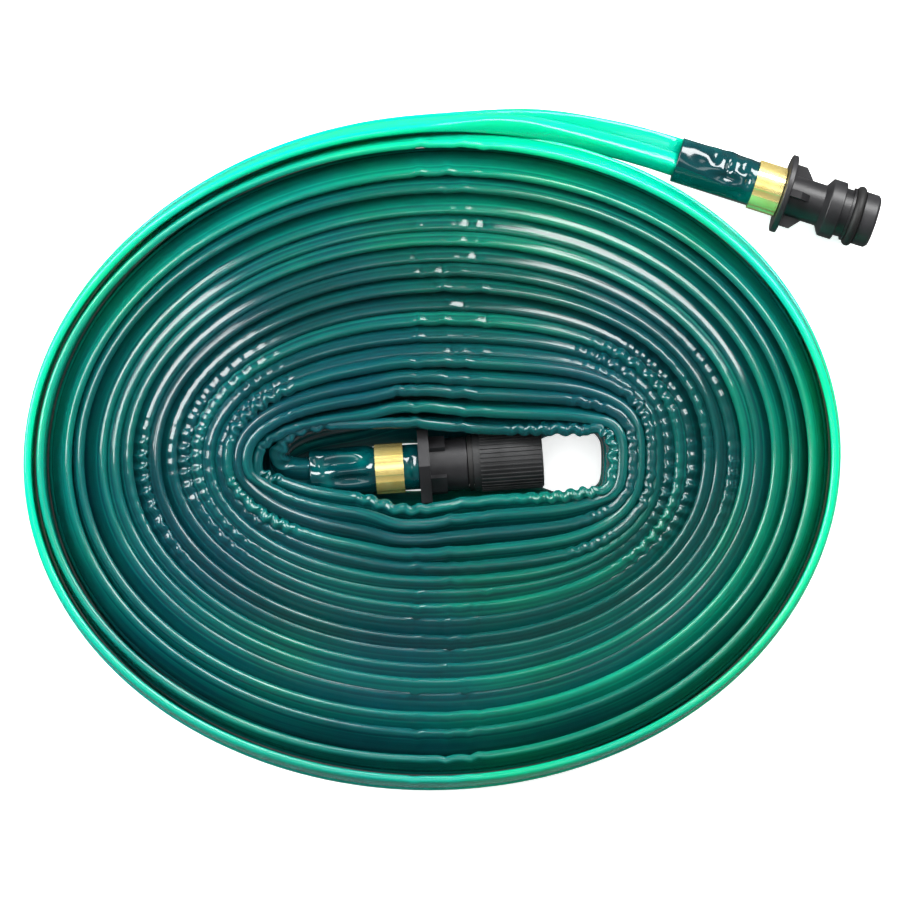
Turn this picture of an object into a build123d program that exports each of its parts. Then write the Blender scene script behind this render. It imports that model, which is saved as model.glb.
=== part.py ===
"""Coiled three-channel sprinkler hose with a snap-in connector and a screw-capped far end.

Millimetres, +Z up, standing on Z = 0 with the whole object's middle over the origin.
+X runs along the coil's long axis and +Y across it.
"""

from math import cos, hypot, pi, radians, sin, tan
import os

from build123d import *

# Hose: one flat extrusion of three channels, wound on its edge.
hose_width = 28.0  # flat width, which is the coil's height
hose_thickness = 3.4
channel_names = ("upper", "middle", "lower")
channel_width = hose_width / len(channel_names)

# Coil: an irregular oval spiral round a long slot that holds the capped end.
coil_centre = (-4.4, -1.5)
coil_half_length = 115.5
coil_half_width = 96.3
coil_skew = 0.025  # sideways shift of the oval per unit of its width
pitch_at_ends = 3.8
pitch_at_sides = 4.6
exit_angle = 88.0  # where the outermost turn leaves the coil
outline_points = 36
slot_centre = (-5.2, -3.4)
slot_half_length = 45.8
slot_half_width = 11.6

# End sleeves, crimped ferrules and the barbed tails inside them, the same at both ends.
sleeve_radius = 6.3
ferrule_wall = 0.6
ferrule_length = 7.8
ferrule_flutes = 8
flute_radius = 4.0
flute_depth = 0.22
tail_radius = 3.7
tail_length = 13.0
tail_bore_radius = 2.4
barb_height = 0.6
barb_length = 2.6
barb_count = 3
seat_gap = 0.05  # clearance between round pieces that hold each other

# Snap-in connector at the outer end, measured along its axis from the ferrule's inner edge.
connector_angle = -17.7
outer_sleeve_length = 22.3
sleeve_beside_angle = 56.6  # where on the coil the sleeve's inner end lies beside it
sleeve_coil_gap = 0.5
outer_sleeve_overhang = 0.3
connector_flange_radius = 11.1
connector_flange_thickness = 1.7
connector_neck_radius = 5.85
connector_neck_length = 11.3
gusset_count = 4
gusset_radius = 8.8
gusset_flat = 3.2
gusset_slope = 3.4
gusset_thickness = 2.0
collar_radius = 8.2
collar_length = 3.9
collar_chamfer = 1.5
latch_groove_radius = 6.8
latch_groove_length = 2.3
land_length = 0.6
o_ring_section_radius = 1.3
o_ring_inner_radius = 5.95
o_ring_side_gap = 0.15
nose_radius = 7.5
nose_length = 4.2
nose_chamfer = 0.7
connector_bore_radius = 4.5
bore_taper = 4.0

# Capped fitting at the inner end, measured the same way.
end_offset = (-16.1, -1.7)  # from the slot's middle to the inner ferrule
end_angle = 4.1
end_height = hose_width / 2
inner_sleeve_length = 18.0
inner_sleeve_overhang = 4.3
hex_across_flats = 20.5
hex_thickness = 3.0
hub_radius = 7.4
hub_length = 10.4
lug_count = 4
lug_first_angle = 40.0
lug_height = 1.0
lug_width = 5.0
lug_length = 4.4
spigot_radius = 6.0
spigot_length = 17.2
spigot_bore_radius = 4.2
gasket_thickness = 1.3
gasket_radius = 7.7
cap_radius = 8.0
cap_length = 19.4
cap_rim_length = 1.6
cap_rim_radius = 7.9
cap_end_wall = 2.0
cap_bore_clearance = 0.75
cap_rib_count = 40
cap_rib_height = 0.28
cap_rib_width = 0.55
cap_seal_thickness = 1.4
thread_lead = 2.5
cap_turns = 3
face_gap = 0.1  # clearance between flat faces that press on each other

edge_round = 0.4

# Cord ends: how the three channels gather into a bundle at each sleeve.
bundle_radius = 3.0
lead_bundle_angles = (120.0, 0.0, 240.0)  # of the upper, middle and lower channel
tail_bundle_angles = (60.0, 180.0, 300.0)
lead_first_run = 12.0
lead_last_run = 12.0
lead_beside_angle = 72.2  # where on the coil the lead's middle lies beside it
lead_coil_gap = 2.0
tail_last_run = 6.3
tail_route = ((-30.5, 9.2), (-38.2, 5.0), (-45.5, 3.6), (-48.5, -1.5))

ferrule_outer_radius = sleeve_radius + seat_gap + ferrule_wall
cord_radius = hose_thickness / 2
connector_height = connector_flange_radius
end_start = (slot_centre[0] + end_offset[0], slot_centre[1] + end_offset[1])


def coil_point(angle, turns_in):
    """Point of the outer face of the coil's winding, turns_in turns below the outermost."""
    half_length = coil_half_length - pitch_at_ends * turns_in
    half_width = coil_half_width - pitch_at_sides * turns_in
    across = half_width * sin(radians(angle))
    along = half_length * cos(radians(angle)) + coil_skew * across
    return Vector(coil_centre[0] + along, coil_centre[1] + across)


def beside_coil(angle, distance):
    """Point at this distance outside the turn below the outermost, at this place on the oval."""
    along = (coil_half_length - pitch_at_ends) * sin(radians(angle))
    across = (coil_half_width - pitch_at_sides) * cos(radians(angle))
    outward = Vector(across, along - coil_skew * across).normalized()
    return coil_point(angle, 1) + outward * distance


def coil_outline():
    """Closed outline of one turn, with the step where the outermost turn leaves."""
    spiral = [
        coil_point(exit_angle + 360 * i / outline_points, i / outline_points)
        for i in range(outline_points + 1)
    ]
    return [Spline(*spiral), Line(spiral[-1], spiral[0])]


def coil(level):
    """Block of all the turns of one channel, open where the capped end lies."""
    block = extrude(make_face(coil_outline()), channel_width)
    slot = Pos(*slot_centre) * SlotOverall(2 * slot_half_length, 2 * slot_half_width)
    block -= extrude(slot, channel_width)
    return Pos(0, 0, level * channel_width) * block


def channel_height(index):
    """Height of the middle of a channel where the hose stands on its edge."""
    return hose_width - (index + 0.5) * channel_width


def bundle_offset(place, angle):
    """Offset of a channel at this place round the bundle, across an axis at this angle."""
    across = bundle_radius * cos(radians(place))
    rise = bundle_radius * sin(radians(place))
    return Vector(-across * sin(radians(angle)), across * cos(radians(angle)), rise)


def heading(angle):
    return Vector(cos(radians(angle)), sin(radians(angle)), 0)


def outer_sleeve_end():
    """Middle of the outer sleeve's end on the hose's side, just off the coil."""
    beside = beside_coil(sleeve_beside_angle, sleeve_radius + sleeve_coil_gap)
    return beside + Vector(0, 0, connector_height)


def lead_points(index):
    """Route of a channel from the coil's step to the outer sleeve."""
    outside, inside = coil_point(exit_angle, 0), coil_point(exit_angle, 1)
    step = outside - inside
    out = Vector(step.Y, -step.X, 0).normalized()
    start = (outside + inside) * 0.5 + Vector(0, 0, channel_height(index))
    axis = heading(connector_angle)
    end = outer_sleeve_end() + bundle_offset(lead_bundle_angles[index], connector_angle)
    before_end = end - axis * lead_last_run
    after_start = start + out * lead_first_run
    middle = beside_coil(lead_beside_angle, cord_radius + lead_coil_gap)
    middle += Vector(0, 0, (after_start.Z + before_end.Z) / 2)
    return [start, after_start, middle, before_end, end]


def tail_points(index):
    """Route of a channel from the innermost turn, round its tight bend, to the inner sleeve."""
    axis = heading(end_angle)
    end = Vector(*end_start, end_height) - axis * inner_sleeve_length
    end += bundle_offset(tail_bundle_angles[index], end_angle)
    start_height = channel_height(index)
    route = []
    for i, (x, y) in enumerate(tail_route):
        share = (i / len(tail_route)) ** 2
        route.append(Vector(x, y, start_height + (end.Z - start_height) * share))
    return route + [end - axis * tail_last_run, end]


def corner_radii(points):
    """Arc at each corner, as large as its two runs allow."""
    radii = []
    for before, corner, after in zip(points, points[1:], points[2:]):
        one, two = corner - before, after - corner
        half_turn = radians(one.get_angle(two)) / 2
        radii.append(0.45 * min(one.length, two.length) / tan(half_turn))
    return radii


def cord(name, points):
    """Round tube of one channel along its route, with its arcs and volume printed."""
    radii = corner_radii(points)
    path = FilletPolyline(*points, radius=radii)
    section = Plane(origin=path @ 0, z_dir=path % 0) * Circle(cord_radius)
    tube = sweep(section, path=path)
    expected = pi * cord_radius**2 * path.length
    print(name, "radii", [round(r, 1) for r in radii], "length", round(path.length, 1),
          "volume/expected", round(tube.volume / expected, 4))
    return tube


def turned(profile_points, rounded=()):
    """Solid turned about the X axis from (along, radius) points, some corners rounded."""
    face = make_face(Polyline(*profile_points, close=True))
    corners = [
        v for v in face.vertices()
        if any(hypot(v.X - x, v.Y - y) < 1e-6 for x, y in rounded)
    ]
    if corners:
        face = fillet(corners, edge_round)
    return revolve(face, Axis.X)


def around(count, piece, first_angle=0.0):
    """Copies of a piece spaced evenly round the X axis."""
    return [Rot(first_angle + 360 * i / count, 0, 0) * piece for i in range(count)]


def barbed_tail(flange_start):
    """Profile of the barbed tail, from the bore at its free end out to the flange."""
    free_end = flange_start - tail_length
    points = [(free_end, tail_bore_radius), (free_end, tail_radius)]
    for i in range(barb_count):
        crest = free_end + barb_length * (i + 1)
        points += [(crest, tail_radius + barb_height), (crest, tail_radius)]
    return points + [(flange_start, tail_radius)]


def sleeve(length, overhang):
    """Soft sleeve over the hose end, hollow where the barbed tail goes in."""
    flange_start = ferrule_length + overhang
    hollow_start = flange_start - tail_length - seat_gap
    hollow_radius = tail_radius + barb_height + seat_gap
    return turned([
        (-length, 0), (-length, sleeve_radius), (flange_start - face_gap, sleeve_radius),
        (flange_start - face_gap, hollow_radius), (hollow_start, hollow_radius),
        (hollow_start, 0),
    ])


def ferrule():
    """Crimped ring with shallow flutes that run along it."""
    inner = sleeve_radius + seat_gap
    ring = turned([
        (0, inner), (0, ferrule_outer_radius), (ferrule_length, ferrule_outer_radius),
        (ferrule_length, inner),
    ])
    flute = Pos(ferrule_length / 2, 0, ferrule_outer_radius + flute_radius - flute_depth)
    flute *= Rot(0, 90, 0) * Cylinder(flute_radius, ferrule_length)
    return ring - around(ferrule_flutes, flute, 180 / ferrule_flutes)


def connector_stations():
    """Places of the connector's features along its axis."""
    flange = ferrule_length + outer_sleeve_overhang
    neck = flange + connector_flange_thickness
    collar = neck + connector_neck_length
    groove = collar + collar_length
    land = groove + latch_groove_length
    o_ring = land + land_length
    nose = o_ring + 2 * (o_ring_section_radius + o_ring_side_gap)
    return flange, neck, collar, groove, land, o_ring, nose, nose + nose_length


def connector_body():
    """Flange, gusseted neck, latch collar and groove, ring seat, nose and barbed tail."""
    flange, neck, collar, groove, land, o_ring, nose, end = connector_stations()
    seat = o_ring_inner_radius - seat_gap
    rim = [(flange, connector_flange_radius), (neck, connector_flange_radius)]
    latch = [(collar, collar_radius), (groove, collar_radius)]
    body = turned(
        barbed_tail(flange) + rim + [
            (neck, connector_neck_radius),
            (collar - collar_chamfer, connector_neck_radius),
        ] + latch + [
            (groove, latch_groove_radius), (land, latch_groove_radius), (land, nose_radius),
            (o_ring, nose_radius), (o_ring, seat), (nose, seat), (nose, nose_radius),
            (end - nose_chamfer, nose_radius), (end, nose_radius - nose_chamfer),
            (end, connector_bore_radius), (neck + bore_taper, connector_bore_radius),
            (neck, tail_bore_radius),
        ],
        rounded=rim + latch,
    )
    half = gusset_thickness / 2
    outline = Polyline(
        (neck, connector_neck_radius - half), (neck, gusset_radius),
        (neck + gusset_flat, gusset_radius),
        (neck + gusset_flat + gusset_slope, connector_neck_radius - half), close=True,
    )
    gusset = extrude(make_face(outline), half, both=True)
    return body + around(gusset_count, gusset)


def connector_o_ring():
    """Rubber ring in the seat behind the nose."""
    o_ring = connector_stations()[5]
    middle = o_ring + o_ring_section_radius + o_ring_side_gap
    ring = Torus(o_ring_inner_radius + o_ring_section_radius, o_ring_section_radius)
    return Pos(middle, 0, 0) * Rot(0, 90, 0) * ring


def end_stations():
    """Places of the capped fitting's features along its axis."""
    flange = ferrule_length + inner_sleeve_overhang
    hub = flange + hex_thickness
    gasket = hub + hub_length
    cap = gasket + gasket_thickness + 2 * face_gap
    spigot_end = gasket + spigot_length
    return flange, hub, gasket, cap, spigot_end


def end_fitting_body():
    """Hexagon, hub with lugs, open spigot and barbed tail."""
    flange, hub, gasket, _, spigot_end = end_stations()
    shoulder = [(gasket, hub_radius)]
    body = turned(
        barbed_tail(flange) + [
            (flange, hub_radius), *shoulder, (gasket, spigot_radius),
            (spigot_end - edge_round, spigot_radius), (spigot_end, spigot_radius - edge_round),
            (spigot_end, spigot_bore_radius), (hub + bore_taper, spigot_bore_radius),
            (hub, tail_bore_radius),
        ],
        rounded=shoulder,
    )
    hexagon = RegularPolygon(hex_across_flats / 2, 6, major_radius=False)
    hexagon = fillet(hexagon.vertices(), edge_round)
    hexagon -= Circle(hub_radius - 1)
    nut = Pos(flange, 0, 0) * Rot(0, 90, 0) * extrude(hexagon, hex_thickness)
    lug = Pos(hub + lug_length / 2, 0, hub_radius) * Box(lug_length, lug_width, 2 * lug_height)
    return body + nut + around(lug_count, lug, lug_first_angle)


def end_gasket():
    """Rubber ring between the hub and the cap's rim."""
    gasket = end_stations()[2] + face_gap
    inner = spigot_radius + seat_gap
    return turned([
        (gasket, inner), (gasket, gasket_radius), (gasket + gasket_thickness, gasket_radius),
        (gasket + gasket_thickness, inner),
    ])


def cap_face():
    """Inner face of the cap's end wall, against the back of its seal."""
    return end_stations()[4] + face_gap + cap_seal_thickness


def end_cap():
    """Ribbed screw cap with a smooth rim and a closed end."""
    start = end_stations()[3]
    bore = spigot_radius + cap_bore_clearance
    ribs_start, wall = start + cap_rim_length, cap_face()
    end = wall + cap_end_wall
    corner = [(end, cap_radius)]
    shell = turned(
        [(start, bore), (start, cap_rim_radius), (ribs_start, cap_rim_radius),
         (ribs_start, cap_radius), *corner, (end, 0), (wall, 0), (wall, bore)],
        rounded=corner,
    )
    rib_length = end - ribs_start - 2 * edge_round
    rib = Box(rib_length, cap_rib_width, 2 * cap_rib_height)
    rib = fillet(rib.edges().filter_by(Axis.X).sort_by(Axis.Z)[-2:], cap_rib_height / 2)
    rib = Pos(ribs_start + edge_round + rib_length / 2, 0, cap_radius) * rib
    return shell + around(cap_rib_count, rib)


def end_cap_seal():
    """Flat rubber disc in the cap's end, which closes the spigot."""
    spigot_end = end_stations()[4]
    radius = spigot_radius + cap_bore_clearance - seat_gap
    return turned([
        (spigot_end + face_gap, 0), (spigot_end + face_gap, radius),
        (cap_face(), radius), (cap_face(), 0),
    ])


def main():
    connector_start = outer_sleeve_end() + heading(connector_angle) * outer_sleeve_length
    at_connector = Pos(connector_start) * Rot(0, 0, connector_angle)
    at_end = Pos(*end_start, end_height) * Rot(0, 0, end_angle)
    pieces = {
        "connector_body": at_connector * connector_body(),
        "connector_o_ring": at_connector * connector_o_ring(),
        "outer_ferrule": at_connector * ferrule(),
        "outer_end_sleeve": at_connector * sleeve(outer_sleeve_length, outer_sleeve_overhang),
        "end_fitting_body": at_end * end_fitting_body(),
        "end_gasket": at_end * end_gasket(),
        "end_cap": at_end * end_cap(),
        "end_cap_seal": at_end * end_cap_seal(),
        "inner_ferrule": at_end * ferrule(),
        "inner_end_sleeve": at_end * sleeve(inner_sleeve_length, inner_sleeve_overhang),
    }
    for i, name in enumerate(channel_names):
        pieces["hose_coil_" + name] = coil(len(channel_names) - 1 - i)
        pieces["hose_lead_" + name] = cord("lead " + name, lead_points(i))
        pieces["hose_tail_" + name] = cord("tail " + name, tail_points(i))

    os.makedirs("parts", exist_ok=True)
    for name, piece in pieces.items():
        export_step(piece, "parts/" + name + ".step")
    print("connector starts at", connector_start, "end fitting at", end_start, end_height)
    print("cap travel", thread_lead * cap_turns, "mm in", cap_turns, "turns")
    for i, name in enumerate(channel_names):
        print(name, "lead", [tuple(round(c, 2) for c in p) for p in lead_points(i)])
        print(name, "tail", [tuple(round(c, 2) for c in p) for p in tail_points(i)])


main()
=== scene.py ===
"""Looks of the coiled three-channel sprinkler hose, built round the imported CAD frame."""
from math import cos, radians, sin, tau

import bpy
import numpy as np
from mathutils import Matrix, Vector


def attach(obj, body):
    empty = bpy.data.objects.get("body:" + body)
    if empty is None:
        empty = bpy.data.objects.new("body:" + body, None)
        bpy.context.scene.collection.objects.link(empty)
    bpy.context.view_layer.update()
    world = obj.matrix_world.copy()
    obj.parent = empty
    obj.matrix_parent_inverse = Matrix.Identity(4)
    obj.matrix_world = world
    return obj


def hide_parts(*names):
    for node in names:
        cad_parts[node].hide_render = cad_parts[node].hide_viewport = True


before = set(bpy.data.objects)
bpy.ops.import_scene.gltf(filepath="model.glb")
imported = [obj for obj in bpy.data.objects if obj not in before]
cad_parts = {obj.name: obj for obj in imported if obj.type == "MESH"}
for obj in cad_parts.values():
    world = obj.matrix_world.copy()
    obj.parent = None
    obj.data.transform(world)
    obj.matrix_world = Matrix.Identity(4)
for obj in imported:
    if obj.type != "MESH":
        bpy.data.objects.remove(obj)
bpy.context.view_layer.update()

MM = 0.001
ROOT = "hose_assembly"

# ---------------------------------------------------------------- camera
VIEW_WIDTH = 250 * MM  # width of the picture at the coil's top
CAMERA_LENS = 120.0
CAMERA_SENSOR = 36.0
AIM = Vector((-0.76, 0.32, 11.0)) * MM


def make_camera():
    """Long lens straight above the coil, with +Y up in the picture."""
    data = bpy.data.cameras.new("camera")
    data.lens, data.sensor_width = CAMERA_LENS, CAMERA_SENSOR
    data.clip_start, data.clip_end = 0.01, 20.0
    camera = bpy.data.objects.new("camera", data)
    bpy.context.collection.objects.link(camera)
    height = VIEW_WIDTH * CAMERA_LENS / CAMERA_SENSOR
    camera.location = AIM + Vector((0, 0, height))
    camera.rotation_euler = (0, 0, 0)
    bpy.context.scene.camera = camera


make_camera()

# ---------------------------------------------------------------- hose routes, in mm
CHANNELS = ("upper", "middle", "lower")
HOSE_WIDTH = 28.0
CHANNEL_WIDTH = HOSE_WIDTH / len(CHANNELS)
FLOOR_GAP = 0.3

# Channel centres of the lead, from the outer sleeve to the coil, and of the tail, from the coil
# to the inner sleeve.
LEAD = {
    "upper": ((61.8, 79.6, 13.7), (50.4, 83.2, 13.7), (32.9, 87.4, 16.5), (13.9, 90.8, 19.3)),
    "middle": ((63.2, 83.9, 11.1), (51.8, 87.5, 11.1), (32.9, 91.4, 12.6), (13.9, 93.3, 14.0)),
    "lower": ((61.8, 79.6, 8.5), (50.4, 83.2, 8.5), (32.9, 90.4, 6.6), (13.9, 93.8, 4.9)),
}
TAIL = {
    "upper": ((-25.0, 7.4, 20.4), (-38.2, 6.8, 21.0), (-45.5, 3.8, 20.8), (-48.5, -1.5, 19.2),
              (-45.7, -5.3, 16.6), (-39.4, -4.9, 16.6)),
    "middle": ((-25.0, 7.6, 11.4), (-38.2, 5.6, 12.0), (-46.0, 2.2, 12.8), (-48.9, -3.0, 13.6),
               (-45.3, -9.8, 14.0), (-39.0, -9.4, 14.0)),
    "lower": ((-25.0, 3.6, 3.8), (-38.2, 1.4, 4.4), (-45.4, -1.0, 5.6), (-48.0, -4.4, 8.0),
              (-45.7, -5.3, 11.4), (-39.4, -4.9, 11.4)),
}

POINTS_PER_TURN = 32
START_ANGLE = 96.0
TURNS = 18.0
# Line of the hose's top edge seen from above: an ellipse outside, a longer slot inside.
OUTER = {"centre": (-4.4, -1.5), "half_length": 113.0, "half_width": 93.9, "power": 2.0}
INNER = {"centre": (-5.2, -3.4), "half_length": 47.6, "half_width": 13.3, "power": 4.2}
SKEW = 0.025
FLANGE_X = -7.7  # where the end fitting's flange stands against the inner turns
BUNDLE_HALF = 2.6  # least half step between channels where they are gathered at the ends


def mix(a, b, share):
    return a + (b - a) * share


def smooth(low, high, value):
    share = np.clip((np.asarray(value, dtype=float) - low) / (high - low), 0.0, 1.0)
    return share * share * (3 - 2 * share)


def unit(v):
    return v / np.maximum(np.linalg.norm(v, axis=-1, keepdims=True), 1e-12)


def at_least(v, length):
    """The vectors, with the short ones stretched to this length."""
    return unit(v) * np.maximum(np.linalg.norm(v, axis=1), length)[:, None]


def signed_power(value, power):
    return np.sign(value) * np.abs(value) ** power


def drift(turns, rate, seed):
    """Smooth random value from -1 to 1 along the hose, with this many changes a turn."""
    rng = np.random.default_rng(seed)
    knots = rng.uniform(-1, 1, int(TURNS * rate) + 8)
    place = np.clip(np.asarray(turns) * rate + 2, 0, len(knots) - 2)
    low = np.floor(place).astype(int)
    return mix(knots[low], knots[low + 1], smooth(0, 1, place - low))


def fold_line(turns):
    """Places of the web under the top channel, seen from above, this many turns in."""
    share = turns / TURNS
    angle = np.radians(START_ANGLE + 360 * turns)
    half_length = mix(OUTER["half_length"], INNER["half_length"], share)
    half_width = mix(OUTER["half_width"], INNER["half_width"], share)
    inner_power = mix(2.5, INNER["power"], smooth(-0.2, 0.5, np.cos(angle)))
    power = 2 / mix(OUTER["power"], inner_power, share**4)
    wander = 0.6 * np.sin(2 * angle + 1.3 + 5 * share) + 0.4 * np.sin(3 * angle - 2.1 + 3 * share)
    wander = wander * smooth(1.0, 0.7, share)
    across = (half_width + wander) * signed_power(np.sin(angle), power)
    along = (half_length + wander) * signed_power(np.cos(angle), power) + SKEW * across
    x = mix(OUTER["centre"][0], INNER["centre"][0], share) + along
    y = mix(OUTER["centre"][1], INNER["centre"][1], share) + across
    pushed = 1.4 * np.exp(-(((x - FLANGE_X) / 4.0) ** 2)) * smooth(TURNS - 2.2, TURNS - 0.8, turns)
    y = y - pushed * (np.sin(angle) < 0)
    return np.stack([x, y, np.zeros_like(x)], -1)


def coil_frames():
    """Boundary lines between the channels along the coil: top edge, two webs, bottom edge.

    The top, middle and lower channel lean from upright by fold, body and foot, in degrees, with
    their tops inward where that is positive.
    """
    turns = np.arange(int(TURNS * POINTS_PER_TURN) + 1) / POINTS_PER_TURN
    share = turns / TURNS
    angle = np.radians(START_ANGLE + 360 * turns)
    edge = fold_line(turns)
    ahead = fold_line(turns + 0.002) - fold_line(turns - 0.002)
    outward = unit(np.stack([ahead[:, 1], -ahead[:, 0], ahead[:, 2]], -1))
    fold = mix(17, 58, smooth(0.0, 0.24, share)) - 40 * smooth(0.5, 1.0, share)
    fold = fold + 28 * smooth(0.0, 0.5, -np.sin(angle)) * smooth(0.7, 1.0, share)
    fold = fold - 12 * smooth(0.7, 0.95, np.cos(angle)) * smooth(0.8, 1.0, share)
    fold = fold + 5 * np.sin(angle + 0.9 + 5 * share) + 3 * np.sin(2 * angle - 0.6 - 7 * share)
    fold = fold - 4 * np.cos(2 * angle) + 9 * drift(turns, 1.37, 11) * smooth(0.0, 0.8, turns)
    at_flange = np.exp(-(((edge[:, 0] - FLANGE_X) / 9.0) ** 2)) * smooth(TURNS - 6, TURNS - 0.8, turns)
    fold = mix(fold, 4.0, at_flange)
    body = -1 - 8 * smooth(0.5, 1.0, share) * smooth(0.1, 0.5, -np.sin(angle)) * (1 - at_flange)
    foot = body - 54 * smooth(0.86, 1.0, share) * (1 - at_flange**5) * smooth(0.6, 0.3, np.cos(angle))
    up = np.array([0.0, 0.0, 1.0])
    top, wall, base = (
        (up * np.cos(lean) - outward * np.sin(lean)) * CHANNEL_WIDTH
        for lean in (np.radians(lean)[:, None] for lean in (fold, body, foot)))
    web = edge + up * (wall + base + FLOOR_GAP)[:, 2:3]
    return web + top, web, web - wall, web - wall - base


def channel_frames():
    """Control points of each channel's centre, and of half the step from web to web."""
    lines = coil_frames()
    made = {}
    for i, name in enumerate(CHANNELS):
        centre, half = (lines[i] + lines[i + 1]) / 2, (lines[i] - lines[i + 1]) / 2
        lead, tail = np.array(LEAD[name]), np.array(TAIL[name])
        above, below = {"upper": ("upper", "middle"), "middle": ("upper", "lower"),
                        "lower": ("middle", "lower")}[name]
        steps = 2 if name != "middle" else 4
        lead_half = (np.array(LEAD[above]) - np.array(LEAD[below])) / steps
        tail_half = (np.array(TAIL[above]) - np.array(TAIL[below])) / steps
        if name == "middle":
            lead_half, tail_half = at_least(lead_half, BUNDLE_HALF), at_least(tail_half, BUNDLE_HALF)
        made[name] = (np.concatenate([lead, centre, tail]) * MM,
                      np.concatenate([lead_half, half, tail_half]) * MM)
    return made


def spline_points(points, resolution):
    """Points along the smooth NURBS line that has these control points."""
    curve = bpy.data.curves.new("route", "CURVE")
    curve.dimensions = "3D"
    curve.resolution_u = resolution
    spline = curve.splines.new("NURBS")
    spline.points.add(len(points) - 1)
    for spot, point in zip(spline.points, points):
        spot.co = (*point, 1.0)
    spline.order_u = 3
    spline.use_endpoint_u = True
    carrier = bpy.data.objects.new("route", curve)
    bpy.context.collection.objects.link(carrier)
    bpy.context.view_layer.update()
    mesh = bpy.data.meshes.new_from_object(carrier)
    line = np.empty(len(mesh.vertices) * 3)
    mesh.vertices.foreach_get("co", line)
    bpy.data.objects.remove(carrier)
    bpy.data.curves.remove(curve)
    bpy.data.meshes.remove(mesh)
    return line.reshape(-1, 3)


def tube(name, rings, values=None):
    """Closed tube mesh through rings of points, shaped (rings, points, 3), with a lengthwise UV."""
    count, around = rings.shape[:2]
    i = np.arange(count - 1)[:, None] * around
    j = np.arange(around)[None, :]
    k = (j + 1) % around
    faces = np.stack([i + j, i + k, i + around + k, i + around + j], -1).reshape(-1, 4).tolist()
    faces.append(list(range(around))[::-1])
    faces.append([(count - 1) * around + n for n in range(around)])
    mesh = bpy.data.meshes.new(name)
    mesh.from_pydata(rings.reshape(-1, 3).tolist(), [], faces)
    mesh.update()
    step = np.linalg.norm(np.diff(rings.mean(axis=1), axis=0), axis=1)
    length = np.concatenate([[0], np.cumsum(step)])
    loops = np.empty(len(mesh.loops), dtype=np.int64)
    mesh.loops.foreach_get("vertex_index", loops)
    uv = np.stack([length[loops // around], (loops % around) / around], -1)
    mesh.uv_layers.new(name="along").data.foreach_set("uv", uv.astype(np.float32).ravel())
    for key, value in (values or {}).items():
        layer = mesh.attributes.new(key, "FLOAT", "POINT")
        layer.data.foreach_set("value", np.asarray(value, dtype=np.float32).ravel())
    mesh.polygons.foreach_set("use_smooth", np.ones(len(mesh.polygons), dtype=bool))
    piece = bpy.data.objects.new(name, mesh)
    bpy.context.collection.objects.link(piece)
    return piece


# Half of a flattened channel's section: (share of its half width, share of its half thickness).
HALF_SECTION = ((1.0, 0.0), (0.985, 0.46), (0.93, 0.8), (0.8, 0.95), (0.5, 1.0), (0.1, 0.98),
                (-0.3, 0.93), (-0.7, 0.8), (-0.93, 0.5), (-1.0, 0.0))
SECTION = np.array(HALF_SECTION + tuple((u, -w) for u, w in HALF_SECTION[-2:0:-1]))
FLAT_THICKNESS = {"upper": (2.2 * MM, 3.1 * MM), "middle": (2.8 * MM, 3.2 * MM),
                  "lower": (2.8 * MM, 3.0 * MM)}  # outer turns, inner turns
ROUND_THICKNESS = 5.5 * MM
BUNDLE_STEP = 5.2 * MM
WEB_OVERLAP = 0.25 * MM
PATH_STEPS = 6  # points kept for the cord's path between two control points
RESOLUTION = {"upper": 3 * PATH_STEPS, "middle": PATH_STEPS, "lower": PATH_STEPS}
BUCKLE_LENGTH = 4.3 * MM
BUCKLE_HEIGHT = 0.75 * MM
CREASES = (-9.5, -1.5, 3.5, 8.0)  # places along X of the creases left by the tie, in mm
CREASE_HEIGHT = 0.9 * MM


def buckles(line, turns):
    """Height of the buckles along a line, from -1 to 1: strong where it bends tightly."""
    step = np.linalg.norm(np.diff(line, axis=0), axis=1)
    length = np.concatenate([[0], np.cumsum(step)])
    ahead = unit(np.gradient(line, length, axis=0))
    bend = np.linalg.norm(np.gradient(ahead, length, axis=0), axis=1)
    reach = max(int(7 * MM / step.mean()), 1)
    kernel = np.hanning(2 * reach + 1)
    bend = np.convolve(bend, kernel / kernel.sum(), "same")
    tight = smooth(1 / (85 * MM), 1 / (42 * MM), bend)
    gate = smooth(-0.35, 0.25, drift(turns, 1.13, 5)) * smooth(5.5, 7.5, turns)
    gate = np.maximum(gate, 0.8 * smooth(TURNS - 0.5, TURNS - 0.4, turns))
    phase = 3.0 * drift(turns, 9, 21) + 2.2 * drift(turns, 23, 22)
    size = 0.45 + 0.55 * drift(turns, 17, 23)
    wave = np.sin(length / BUCKLE_LENGTH * tau + phase)
    return tight * gate * size * wave


def tie_creases(line, turns):
    """Height of the small creases in radial rows where the coil was tied, from -1 to 1."""
    x, height = line[:, 0] / MM, np.zeros(len(line))
    for n, place in enumerate(CREASES):
        off = x - place - 1.6 * drift(turns, 1.9, 40 + n)
        height += 0.8 * drift(turns, 2.1, 60 + n) * np.exp(-((off / 1.2) ** 2))
    return height * smooth(0.2, 0.8, turns)


def painted_light_and_tone_of(turns, u):
    """Painted light on the vinyl: bright where the light comes through the outer turns, painted shade
    on the coil's lower side and a little lighter towards each channel's top edge, with tone that
    drifts at random from turn to turn.
    """
    layer = turns[:, None] + 0.0 * u
    # painted shade: darker on the coil's lower side, away from the softboxes
    below = smooth(0.1, 0.9, np.sin(np.radians(START_ANGLE - 180 + 360 * turns)))[:, None]
    light = 0.36 * smooth(1.06, 0.9, layer) + 0.26 * smooth(4.2, 1.6, layer) * (1 - 0.6 * below)
    light = light + 0.1 * smooth(7.0, 3.5, layer) + 0.2 - 0.16 * below * smooth(0.9, 0.6, layer)
    light = light + 0.12 * drift(turns, 1.61, 31)[:, None] + 0.06 * drift(turns, 5.3, 32)[:, None]
    # painted light: a little lighter towards each channel's top edge
    return np.clip(light + 0.04 * smooth(0.5, 1.0, u), 0, 1)


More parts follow.
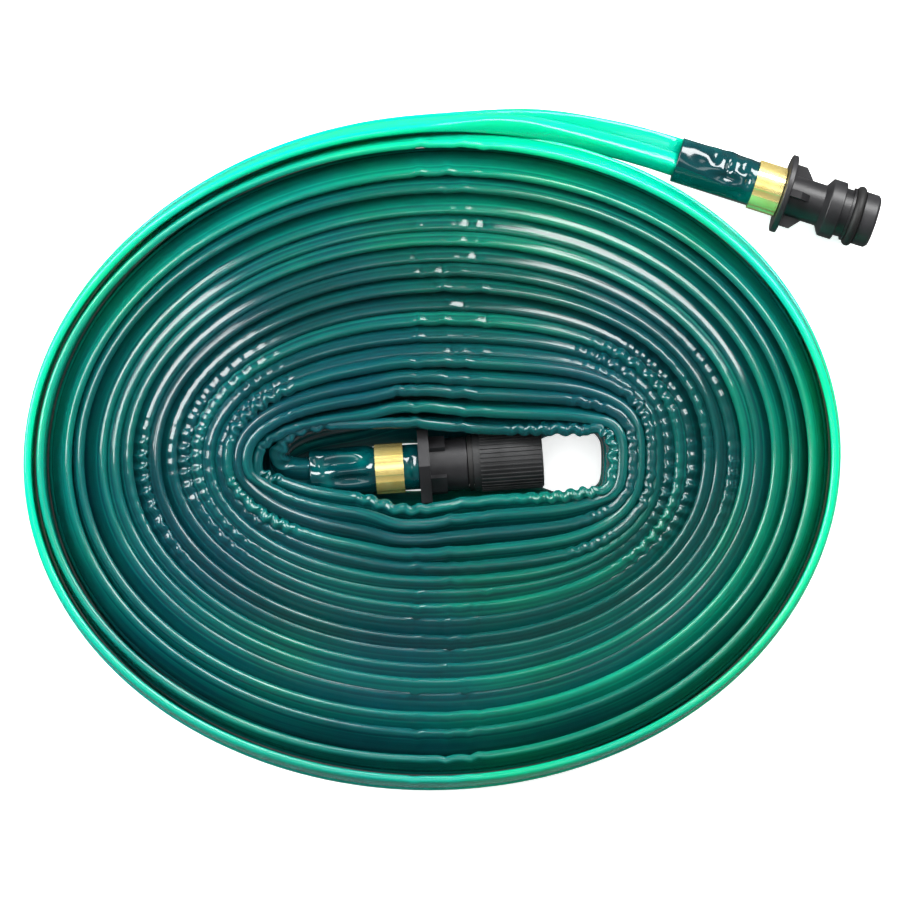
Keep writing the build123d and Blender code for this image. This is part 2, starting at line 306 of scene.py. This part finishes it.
def gloss_of(name, turns, u):
    """How glossy the vinyl is: less on the walls that are shut in between the turns."""
    shown = 1.0 if name == "upper" else smooth(1.1, 0.95, turns)[:, None]
    return shown + 0.0 * turns[:, None] * u


def hose_channel(name, frames):
    """One channel of the hose, as a flattened tube along its own spline."""
    centre, half = frames[name]
    line = spline_points(centre, RESOLUTION[name])
    rise = spline_points(half, RESOLUTION[name])
    place = np.linspace(0, len(centre) - 1, len(line)) - len(LEAD[name])
    turns = place / POINTS_PER_TURN
    span = 2 * np.linalg.norm(rise, axis=1)
    ahead = unit(np.gradient(line, axis=0))
    side = unit(np.cross(ahead, unit(rise)))
    up = unit(np.cross(side, ahead))
    flat = smooth(BUNDLE_STEP, CHANNEL_WIDTH * MM * 0.96, span)
    half_width = span / 2 + WEB_OVERLAP
    thickness = mix(*FLAT_THICKNESS[name], smooth(0.45 * TURNS, 0.85 * TURNS, turns))
    half_thick = mix(ROUND_THICKNESS, thickness, flat) / 2
    u, w = SECTION[None, :, 0], SECTION[None, :, 1]
    height = buckles(line, turns)
    lift = height[:, None] * BUCKLE_HEIGHT + tie_creases(line, turns)[:, None] * CREASE_HEIGHT
    lift = lift * (((u + 1) / 2) ** 1.3 if name == "upper" else 0.0)
    shrink = 1 - 0.1 * np.abs(height)[:, None] * (name == "upper") * (u > 0)
    rings = (
        line[:, None]
        + up[:, None] * (half_width[:, None] * u * shrink)[..., None]
        + side[:, None] * (half_thick[:, None] * w + lift)[..., None]
    )
    # painted light with random tone, and gloss, stored on the points for the vinyl
    values = {"painted_light_and_tone": painted_light_and_tone_of(turns, u), "gloss": gloss_of(name, turns, u)}
    return tube("hose_" + name + "_channel", rings, values), line


hose_pieces = []
hose_frames = channel_frames()
for channel in CHANNELS:
    piece, line = hose_channel(channel, hose_frames)
    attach(piece, ROOT)
    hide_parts(*("hose_" + part + "_" + channel for part in ("lead", "coil", "tail")))
    hose_pieces.append(piece)


# ---------------------------------------------------------------- end sleeves and thread
# Dents in a sleeve: (place along the axis, angle round it in degrees, depth, length, width in deg).
OUTER_DENTS = ((-4.0, 62, 0.9, 1.3, 20), (-8.2, 70, 1.2, 1.0, 26), (-6.2, 100, 0.7, 2.4, 9),
               (-12.5, 58, 0.8, 1.4, 18), (-5.0, 20, 0.6, 1.6, 14), (-2.2, 95, 0.8, 0.8, 16),
               (-10.0, 105, 0.5, 3.0, 8), (-15.5, 88, 0.35, 3.5, 12), (-3.4, 130, 0.5, 1.6, 12),
               (-9.0, 30, 0.35, 2.6, 12), (-18.5, 70, 0.3, 2.2, 16))
INNER_DENTS = ((-8.0, 108, 1.3, 6.5, 10), (-9.0, 66, 1.5, 5.5, 12), (-3.0, 46, 0.7, 1.6, 16),
               (-14.5, 88, 1.3, 2.6, 16), (-16.5, 60, 1.0, 2.0, 18), (-15.0, 125, 0.9, 3.0, 12),
               (-6.5, 20, 0.9, 2.4, 16), (-12.0, 150, 0.9, 2.6, 20), (10.0, 80, 0.6, 1.2, 20),
               (9.0, 45, 0.5, 1.0, 14), (10.6, 110, 0.5, 1.0, 14))
SLEEVE_RADIUS = 6.28
SLEEVE_WALL = 0.9
PUCKER_FADE = 2.5  # how far before the ferrule the sleeve is held round again
# Axes of the two ends: the ferrule's edge towards the hose, in mm, and the heading in degrees.
OUTER_END = ((83.5182, 74.237, 11.1), -17.7)
INNER_END = ((-21.3, -5.1, 14.0), 4.1)
UP = np.array([0.0, 0.0, 1.0])


def directions(heading):
    """Unit vectors along an end's axis and level across it."""
    ahead = np.array([cos(radians(heading)), sin(radians(heading)), 0])
    return ahead, np.array([-ahead[1], ahead[0], 0])


def end_sleeve(name, node, end, low, high, dents, width):
    """Shrunk vinyl sleeve on the hose's end, dented where it puckers beside the ferrule."""
    start, heading = end
    ahead, across = directions(heading)
    places = np.linspace(low, high, 110)
    angles = np.linspace(0, 360, 64, endpoint=False)
    rings = []
    for inside, row in ((True, places[12:0:-4]), (False, places)):
        for place in row:
            free = float(smooth(0.0, -PUCKER_FADE, place))
            reach = np.full(len(angles), SLEEVE_RADIUS - SLEEVE_WALL * inside)
            for at, turn, depth, length, spread in dents:
                off = (angles - turn + 180) % 360 - 180
                fall = np.exp(-((place - at) / length) ** 2 - (off / spread) ** 2)
                reach = reach - depth * fall * (not inside)
                reach = reach + 0.35 * depth * np.exp(-((place - at) / length / 1.8) ** 2) * (
                    np.exp(-((abs(off) - 2.0 * spread) / spread) ** 2) * (not inside) * free)
            spread_out = 1 + (width - 1) * free
            a = np.radians(angles)
            rings.append(
                np.array(start)
                + ahead * place
                + across * (np.cos(a) * reach * spread_out)[:, None]
                + UP * (np.sin(a) * reach)[:, None]
            )
    piece = tube(name, np.array(rings) * MM)
    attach(piece, ROOT)
    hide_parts(node)
    return piece


sleeve_pieces = (
    end_sleeve("outer_wrinkled_sleeve", "outer_end_sleeve", OUTER_END, -22.3, 8.0, OUTER_DENTS, 1.0),
    end_sleeve("inner_wrinkled_sleeve", "inner_end_sleeve", INNER_END, -18.0, 12.0, INNER_DENTS, 1.06),
)

THREAD_LEAD = 2.5
THREAD_TURNS = 5.5
THREAD_FROM = 28.0  # along the end fitting's axis
SPIGOT_RADIUS = 6.0


def spigot_thread():
    """Raised helix on the end fitting's spigot, seen once the cap is unscrewed."""
    start, heading = INNER_END
    ahead, across = directions(heading)
    angle = np.linspace(0, THREAD_TURNS * tau, 240)
    taper = np.minimum(1, np.minimum(angle, angle[-1] - angle) / 1.2)
    place = THREAD_FROM + THREAD_LEAD * angle / tau
    out = np.cos(angle)[:, None] * across + np.sin(angle)[:, None] * UP
    centre = np.array(start) + ahead * place[:, None] + out * SPIGOT_RADIUS
    profile = ((-0.55, -0.15), (-0.28, 0.48), (0.28, 0.48), (0.55, -0.15))
    rings = np.stack([centre + ahead * a + out * (r * taper)[:, None] for a, r in profile], 1)
    piece = tube("spigot_thread", rings * MM)
    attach(piece, ROOT)
    return piece


thread_piece = spigot_thread()


# ---------------------------------------------------------------- materials
def material(name, roughness, metallic=0.0):
    """New node material with its nodes, links and main shader."""
    made = bpy.data.materials.new(name)
    made.use_nodes = True
    nodes, links = made.node_tree.nodes, made.node_tree.links
    shader = nodes["Principled BSDF"]
    shader.inputs["Metallic"].default_value = metallic
    shader.inputs["Roughness"].default_value = roughness
    return made, nodes, links, shader


def noise(nodes, links, source, scale, detail=2.0, stretch=None):
    """Noise read from object coordinates or from another output, stretched if asked."""
    texture = nodes.new("ShaderNodeTexNoise")
    texture.inputs["Scale"].default_value = scale
    texture.inputs["Detail"].default_value = detail
    if stretch:
        mapping = nodes.new("ShaderNodeMapping")
        mapping.inputs["Scale"].default_value = stretch
        links.new(source, mapping.inputs["Vector"])
        source = mapping.outputs["Vector"]
    links.new(source, texture.inputs["Vector"])
    return texture.outputs["Fac"]


def ramp(nodes, links, source, stops):
    """Colours by value, from (value, colour) stops."""
    node = nodes.new("ShaderNodeValToRGB")
    row = node.color_ramp
    while len(row.elements) < len(stops):
        row.elements.new(1.0)
    for spot, (place, colour) in zip(row.elements, stops):
        spot.position = place
        spot.color = (*colour, 1)
    links.new(source, node.inputs["Fac"])
    return node.outputs["Color"]


def maths(nodes, links, operation, a, b, c=None):
    """One maths node on numbers or other nodes' outputs."""
    node = nodes.new("ShaderNodeMath")
    node.operation = operation
    for socket, value in zip(node.inputs, (a, b, c)):
        if value is None:
            continue
        if isinstance(value, (int, float)):
            socket.default_value = value
        else:
            links.new(value, socket)
    return node.outputs["Value"]


def bump(nodes, links, shader, height, strength, distance):
    """Fine relief on the shader's surface."""
    node = nodes.new("ShaderNodeBump")
    node.inputs["Strength"].default_value = strength
    node.inputs["Distance"].default_value = distance
    links.new(height, node.inputs["Height"])
    links.new(node.outputs["Normal"], shader.inputs["Normal"])


# Vinyl colours, picked by the painted light and random tone: dark teal for the shaded inner turns,
# bright mint for the glow of the outer turns.
VINYL_STOPS = ((0.0, (0.002, 0.02, 0.023)), (0.25, (0.002, 0.045, 0.045)), (0.5, (0.002, 0.12, 0.085)),
               (0.75, (0.002, 0.25, 0.16)), (1.0, (0.0, 0.4, 0.24)))

# Painted highlight along each channel's top edge and painted pale and dark lines along the hose, by
# place round a channel's section, giving each turn a lit and a shaded band.
PAINTED_LINE_STOPS = tuple((place, (shade, shade, shade)) for place, shade in (
    (0.0, 0.5), (0.05, 0.62), (0.1, 0.5), (0.185, 0.55), (0.2, 0.2), (0.215, 0.3), (0.225, 0.85),
    (0.24, 0.5), (0.5, 0.4), (0.76, 0.5), (0.775, 0.85), (0.785, 0.3), (0.8, 0.2), (0.815, 0.55),
    (0.9, 0.5), (0.95, 0.62), (1.0, 0.5)))

# Drift of the green towards blue and yellow, as factors on red, green and blue.
TINT_STOPS = ((0.32, (1.0, 0.82, 1.12)), (0.5, (1.0, 0.94, 1.0)), (0.68, (1.0, 1.06, 0.84)))


def vinyl_material():
    """Glossy green vinyl with painted light: lighter where the light comes through, a painted
    highlight and painted pale and dark lines along each channel, and lengthwise streaks.
    """
    made, nodes, links, shader = material("green_vinyl", 0.1)
    shader.inputs["Subsurface Weight"].default_value = 0.7
    shader.inputs["Subsurface Radius"].default_value = (0.15, 1.0, 0.75)
    shader.inputs["Subsurface Scale"].default_value = 0.005
    painted_light_and_tone = nodes.new("ShaderNodeAttribute")
    painted_light_and_tone.attribute_name = "painted_light_and_tone"
    along = nodes.new("ShaderNodeUVMap")
    along.uv_map = "along"
    place = nodes.new("ShaderNodeTexCoord")
    streaks = noise(nodes, links, along.outputs["UV"], 1.0, 2.0, (14.0, 22.0, 1.0))
    clouds = noise(nodes, links, place.outputs["Object"], 22.0, 2.0)
    light = maths(nodes, links, "MULTIPLY_ADD", streaks, 0.3, -0.15)
    # add the painted light and random tone stored on the hose
    light = maths(nodes, links, "ADD", painted_light_and_tone.outputs["Fac"], light)
    cloud = maths(nodes, links, "MULTIPLY_ADD", clouds, 0.24, -0.12)
    light = maths(nodes, links, "ADD", light, cloud)
    around = nodes.new("ShaderNodeSeparateXYZ")
    links.new(along.outputs["UV"], around.inputs["Vector"])
    # painted highlight and painted pale and dark lines round each channel's section
    painted_lines = ramp(nodes, links, around.outputs["Y"], PAINTED_LINE_STOPS)
    light = maths(nodes, links, "ADD", light, maths(nodes, links, "MULTIPLY_ADD", painted_lines, 0.3, -0.15))
    tint = nodes.new("ShaderNodeMix")
    tint.data_type, tint.blend_type = "RGBA", "MULTIPLY"
    tint.inputs["Factor"].default_value = 1.0
    links.new(ramp(nodes, links, light, VINYL_STOPS), tint.inputs["A"])
    drifts = noise(nodes, links, place.outputs["Object"], 16.0, 3.0)
    links.new(ramp(nodes, links, drifts, TINT_STOPS), tint.inputs["B"])
    links.new(tint.outputs["Result"], shader.inputs["Base Color"])
    gloss = nodes.new("ShaderNodeAttribute")
    gloss.attribute_name = "gloss"
    level = maths(nodes, links, "MULTIPLY_ADD", gloss.outputs["Fac"], 0.42, 0.08)
    links.new(level, shader.inputs["Specular IOR Level"])
    fine = noise(nodes, links, along.outputs["UV"], 1.0, 2.0, (60.0, 60.0, 1.0))
    bump(nodes, links, shader, fine, 0.12, 0.0004)
    return made


def sleeve_material():
    """Dark teal translucent vinyl, glossy and a little cloudy."""
    made, nodes, links, shader = material("teal_sleeve", 0.14)
    shader.inputs["Coat Weight"].default_value = 0.4
    shader.inputs["Coat Roughness"].default_value = 0.04
    place = nodes.new("ShaderNodeTexCoord")
    clouds = noise(nodes, links, place.outputs["Object"], 130.0, 3.0)
    stops = ((0.3, (0.0, 0.012, 0.016)), (0.55, (0.0, 0.03, 0.034)), (0.8, (0.0, 0.075, 0.07)))
    links.new(ramp(nodes, links, clouds, stops), shader.inputs["Base Color"])
    fine = noise(nodes, links, place.outputs["Object"], 700.0, 2.0)
    bump(nodes, links, shader, fine, 0.08, 0.0003)
    return made


def brass_material():
    """Bright rolled brass with faint marks round the ferrule."""
    made, nodes, links, shader = material("rolled_brass", 0.25, 0.8)
    place = nodes.new("ShaderNodeTexCoord")
    marks = noise(nodes, links, place.outputs["Object"], 900.0, 3.0)
    tint = noise(nodes, links, place.outputs["Object"], 160.0, 2.0)
    stops = ((0.3, (0.9, 0.68, 0.2)), (0.7, (1.0, 0.85, 0.36)))
    links.new(ramp(nodes, links, tint, stops), shader.inputs["Base Color"])
    bump(nodes, links, shader, marks, 0.08, 0.0002)
    return made


def plastic_material(name, colour, roughness, grain):
    """Moulded plastic or rubber with a fine grain and slightly uneven gloss."""
    made, nodes, links, shader = material(name, roughness)
    shader.inputs["Specular IOR Level"].default_value = 0.42
    place = nodes.new("ShaderNodeTexCoord")
    fine = noise(nodes, links, place.outputs["Object"], grain, 3.0)
    wide = noise(nodes, links, place.outputs["Object"], 140.0, 2.0)
    dark = tuple(0.7 * c for c in colour)
    pale = tuple(1.5 * c for c in colour)
    links.new(ramp(nodes, links, wide, ((0.3, dark), (0.75, pale))), shader.inputs["Base Color"])
    gloss = maths(nodes, links, "MULTIPLY_ADD", wide, 0.18, roughness - 0.09)
    links.new(gloss, shader.inputs["Roughness"])
    bump(nodes, links, shader, fine, 0.18, 0.0002)
    return made


vinyl = vinyl_material()
for piece in hose_pieces:
    piece.data.materials.append(vinyl)
for piece in sleeve_pieces:
    piece.data.materials.append(sleeve_material())
FINISHES = (
    (brass_material(), ("outer_ferrule", "inner_ferrule")),
    (plastic_material("black_nylon", (0.011, 0.011, 0.012), 0.4, 2600.0),
     ("connector_body", "end_fitting_body")),
    (plastic_material("cap_polypropylene", (0.011, 0.0115, 0.012), 0.4, 2200.0), ("end_cap",)),
    (plastic_material("black_rubber", (0.005, 0.005, 0.005), 0.6, 1500.0),
     ("connector_o_ring", "end_gasket", "end_cap_seal")),
)
thread_piece.data.materials.append(FINISHES[1][0])
for finish, nodes in FINISHES:
    for node in nodes:
        mesh = bpy.data.objects[node].data
        mesh.materials.clear()
        mesh.materials.append(finish)


# ---------------------------------------------------------------- floor and light
def make_floor():
    """Plain white floor, lit a little from itself and left out of reflections."""
    bpy.ops.mesh.primitive_plane_add(size=6, location=(0, 0, -0.0002))
    floor = bpy.context.object
    floor.name = "floor"
    made, _, _, shader = material("floor_white", 0.6)
    shader.inputs["Base Color"].default_value = (0.95, 0.95, 0.95, 1)
    shader.inputs["Emission Color"].default_value = (1, 1, 1, 1)
    shader.inputs["Emission Strength"].default_value = 0.6
    floor.data.materials.append(made)
    floor.visible_glossy = False


def softbox(name, azimuth, elevation, distance, width, height, power, in_gloss=True):
    """Rectangular light aimed at the coil from a direction in degrees."""
    data = bpy.data.lights.new(name, "AREA")
    data.shape, data.size, data.size_y, data.energy = "RECTANGLE", width, height, power
    light = bpy.data.objects.new(name, data)
    a, e = radians(azimuth), radians(elevation)
    place = Vector((cos(a) * cos(e), sin(a) * cos(e), sin(e))) * distance
    light.location = place
    light.rotation_mode = "QUATERNION"
    light.rotation_quaternion = place.to_track_quat("Z", "Y")
    light.visible_glossy = in_gloss
    bpy.context.collection.objects.link(light)


make_floor()
softbox("softbox_left", 152, 36, 1.3, 1.1, 0.6, 32)
softbox("softbox_right", 52, 36, 1.3, 1.1, 0.6, 32)
softbox("softbox_ceiling", 90, 80, 1.5, 1.2, 1.2, 20, False)
softbox("softbox_top", 100, 82, 1.5, 0.5, 0.5, 2)
bpy.context.scene.view_settings.view_transform = "Standard"
world = bpy.data.worlds.new("studio")
bpy.context.scene.world = world
world.use_nodes = True
world.node_tree.nodes["Background"].inputs["Color"].default_value = (1, 1, 1, 1)
world.node_tree.nodes["Background"].inputs["Strength"].default_value = 0.15
